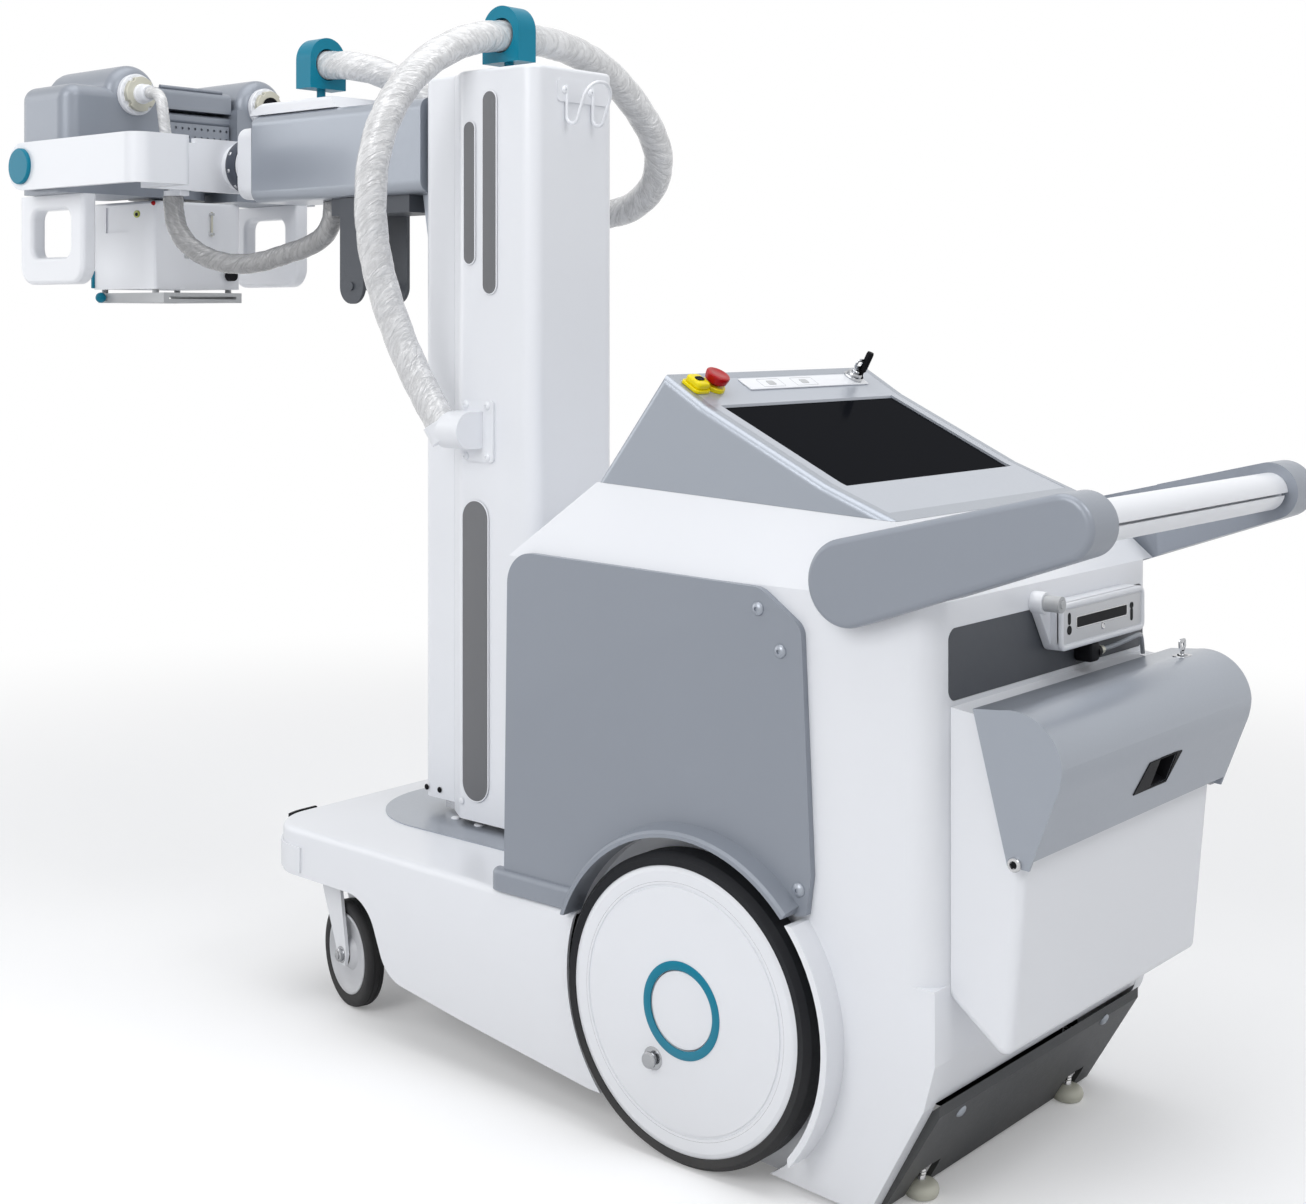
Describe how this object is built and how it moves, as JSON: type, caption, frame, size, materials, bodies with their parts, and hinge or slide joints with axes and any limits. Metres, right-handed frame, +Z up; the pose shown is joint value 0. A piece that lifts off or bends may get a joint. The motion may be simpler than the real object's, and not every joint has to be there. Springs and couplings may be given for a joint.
{
  "type": "mobile x-ray machine",
  "caption": "Wheeled radiography machine with a turning column, a sliding arm, a tilting tube head in a yoke, a console and a push handle.",
  "frame": {"origin": "on the floor below the middle of the machine's length and width", "axes": "+Z up, -X forwards (towards the tube head), +X towards the operator's push handle, -Y the machine's left side"},
  "size_m": [2.584, 0.8225, 1.83],
  "materials": {
    "white_shell": "satin",
    "white_metal": "satin",
    "grey_panel": "satin",
    "silver_panel": "satin",
    "frame_steel": "matte",
    "dark_grey": "matte",
    "light_grey": "matte",
    "black_plastic": "matte",
    "screen_glass": "gloss",
    "teal_plastic": "gloss",
    "red_plastic": "gloss",
    "yellow_plastic": "gloss",
    "white_plastic": "gloss",
    "grey_plastic": "satin",
    "tyre_rubber": "matte",
    "cream_rubber": "matte",
    "steel": "brushed",
    "sleeve_fabric": "satin",
    "cable_jacket": "matte",
    "cast_aluminium": "satin"
  },
  "bodies": {
    "chassis": {"chassis_frame": "frame_steel", "power_units": "black_plastic", "drive_motors": "frame_steel", "base_shell": "white_shell", "deck_inlay": "light_grey", "front_bumper": "white_plastic", "body_shell": "white_shell", "side_panels": "grey_plastic", "console_housing": "silver_panel", "console_fascia": "silver_panel", "touch_screen": "screen_glass", "switch_plate": "yellow_plastic", "handle_arms": "grey_panel", "handle_bar": "white_metal", "rear_panel": "dark_grey", "socket_box": "white_plastic", "detector_bin": "white_shell", "kick_plate": "dark_grey", "detector_cable": "cable_jacket"},
    "deadman": {"deadman_strip": "white_plastic"},
    "estop": {"estop_button": "red_plastic"},
    "key_switch": {"switch_key": "black_plastic"},
    "hand_switch": {"hand_switch": "light_grey"},
    "hand_button": {"hand_switch_button": "light_grey"},
    "lid": {"bin_lid": "cast_aluminium"},
    "lid_lock": {"lid_key": "steel"},
    "caster_fork_left": {"caster_fork_left": "steel"},
    "caster_fork_right": {"caster_fork_right": "steel"},
    "caster_wheel_left": {"caster_wheel_left": "tyre_rubber"},
    "caster_wheel_right": {"caster_wheel_right": "tyre_rubber"},
    "drive_wheel_left": {"drive_tyre_left": "tyre_rubber", "wheel_disc_left": "white_plastic"},
    "drive_wheel_right": {"drive_tyre_right": "tyre_rubber", "wheel_disc_right": "white_plastic"},
    "feet": {"parking_feet": "cream_rubber"},
    "column": {"column_mast": "steel", "column_rear_cover": "white_metal", "column_front_cover": "white_metal", "cable_boss": "white_plastic", "cable_hooks": "steel", "cable_sleeve": "sleeve_fabric"},
    "counterweight": {"counterweight": "frame_steel"},
    "column_clamp": {"column_clamp": "teal_plastic"},
    "arm": {"arm_carriage": "cast_aluminium", "arm_box": "grey_panel", "arm_top_cover": "silver_panel", "arm_flange": "grey_panel", "parking_latch": "dark_grey", "head_sleeve": "sleeve_fabric"},
    "arm_clamp": {"arm_clamp": "teal_plastic"},
    "yoke": {"yoke": "white_metal", "tilt_pins": "teal_plastic"},
    "tube": {"tube_ends": "grey_plastic", "tube_barrel": "grey_plastic", "hv_receptacles": "white_plastic", "head_handles": "white_plastic", "hv_cable": "cable_jacket"},
    "collimator": {"collimator_box": "white_plastic", "collimator_tray": "light_grey"},
    "field_knob": {"field_knob": "black_plastic"}
  },
  "joints": [
    {"name": "drive_left_spin", "type": "hinge", "parent": "chassis", "child": "drive_wheel_left", "pos_m": [0.632, -0.345, 0.23], "axis": [0, 1, 0], "continuous": true},
    {"name": "drive_right_spin", "type": "hinge", "parent": "chassis", "child": "drive_wheel_right", "pos_m": [0.632, 0.345, 0.23], "axis": [0, 1, 0], "continuous": true},
    {"name": "caster_left_swivel", "type": "hinge", "parent": "chassis", "child": "caster_fork_left", "pos_m": [-0.286, -0.241, 0.24], "axis": [0, 0, 1], "continuous": true},
    {"name": "caster_right_swivel", "type": "hinge", "parent": "chassis", "child": "caster_fork_right", "pos_m": [-0.286, 0.241, 0.24], "axis": [0, 0, 1], "continuous": true},
    {"name": "caster_left_spin", "type": "hinge", "parent": "caster_fork_left", "child": "caster_wheel_left", "pos_m": [-0.23287, -0.25523, 0.095], "axis": [0.2588, 0.9659, 0], "continuous": true},
    {"name": "caster_right_spin", "type": "hinge", "parent": "caster_fork_right", "child": "caster_wheel_right", "pos_m": [-0.23287, 0.22676, 0.095], "axis": [0.2588, 0.9659, 0], "continuous": true},
    {"name": "column_turn", "type": "hinge", "parent": "chassis", "child": "column", "pos_m": [-0.068, 0, 0.33], "axis": [0, 0, 1], "range_deg": [-90, 90]},
    {"name": "arm_slide", "type": "slide", "parent": "column", "child": "arm", "axis": [0, 0, -1], "range_m": [0, 0.88], "deforming": ["cable_sleeve"]},
    {"name": "counterweight_slide", "type": "slide", "parent": "column", "child": "counterweight", "axis": [0, 0, 1], "range_m": [0, 0.88]},
    {"name": "column_clamp_turn", "type": "hinge", "parent": "column", "child": "column_clamp", "pos_m": [-0.069, -0.02, 1.72], "axis": [0, 0, 1], "range_deg": [-8, 8]},
    {"name": "arm_clamp_turn", "type": "hinge", "parent": "arm", "child": "arm_clamp", "pos_m": [-0.632, 0, 1.7], "axis": [0, 0, 1], "range_deg": [-8, 8]},
    {"name": "yoke_roll", "type": "hinge", "parent": "arm", "child": "yoke", "pos_m": [-0.86, 0, 1.575], "axis": [1, 0, 0], "range_deg": [-90, 90], "deforming": ["head_sleeve"]},
    {"name": "tube_tilt", "type": "hinge", "parent": "yoke", "child": "tube", "pos_m": [-1.168, 0, 1.57], "axis": [0, 1, 0], "range_deg": [-45, 45], "deforming": ["hv_cable"]},
    {"name": "collimator_turn", "type": "hinge", "parent": "tube", "child": "collimator", "pos_m": [-1.168, 0, 1.4], "axis": [0, 0, 1], "range_deg": [-90, 90]},
    {"name": "field_knob_turn", "type": "hinge", "parent": "collimator", "child": "field_knob", "pos_m": [-1.05, 0.082, 1.345], "axis": [1, 0, 0], "range_deg": [-180, 180]},
    {"name": "estop_push", "type": "slide", "parent": "chassis", "child": "estop", "axis": [-0.5145, 0, -0.8575], "range_m": [0, 0.004], "stiffness_N_per_m": 1500},
    {"name": "key_turn", "type": "hinge", "parent": "chassis", "child": "key_switch", "pos_m": [0.56429, 0.191, 1.16375], "axis": [0.5145, 0, 0.8575], "range_deg": [0, 90]},
    {"name": "deadman_press", "type": "slide", "parent": "chassis", "child": "deadman", "axis": [0, 0, 1], "range_m": [0, 0.0035], "stiffness_N_per_m": 2500},
    {"name": "hand_switch_lift", "type": "slide", "parent": "chassis", "child": "hand_switch", "axis": [1, 0, 0], "range_m": [0, 0.06]},
    {"name": "hand_switch_press", "type": "slide", "parent": "hand_switch", "child": "hand_button", "axis": [-1, 0, 0], "range_m": [0, 0.003], "stiffness_N_per_m": 500},
    {"name": "lid_open", "type": "hinge", "parent": "chassis", "child": "lid", "pos_m": [1.148, 0, 0.53], "axis": [0, 1, 0], "range_deg": [0, 80]},
    {"name": "lid_lock_turn", "type": "hinge", "parent": "lid", "child": "lid_lock", "pos_m": [1.14, 0.225, 0.72], "axis": [0, 0, 1], "range_deg": [0, 90]},
    {"name": "feet_raise", "type": "slide", "parent": "chassis", "child": "feet", "axis": [0, 0, 1], "range_m": [0, 0.025]}
  ],
  "couplings": [
    {"joint": "counterweight_slide", "follows": "arm_slide", "ratio": 1}
  ]
}
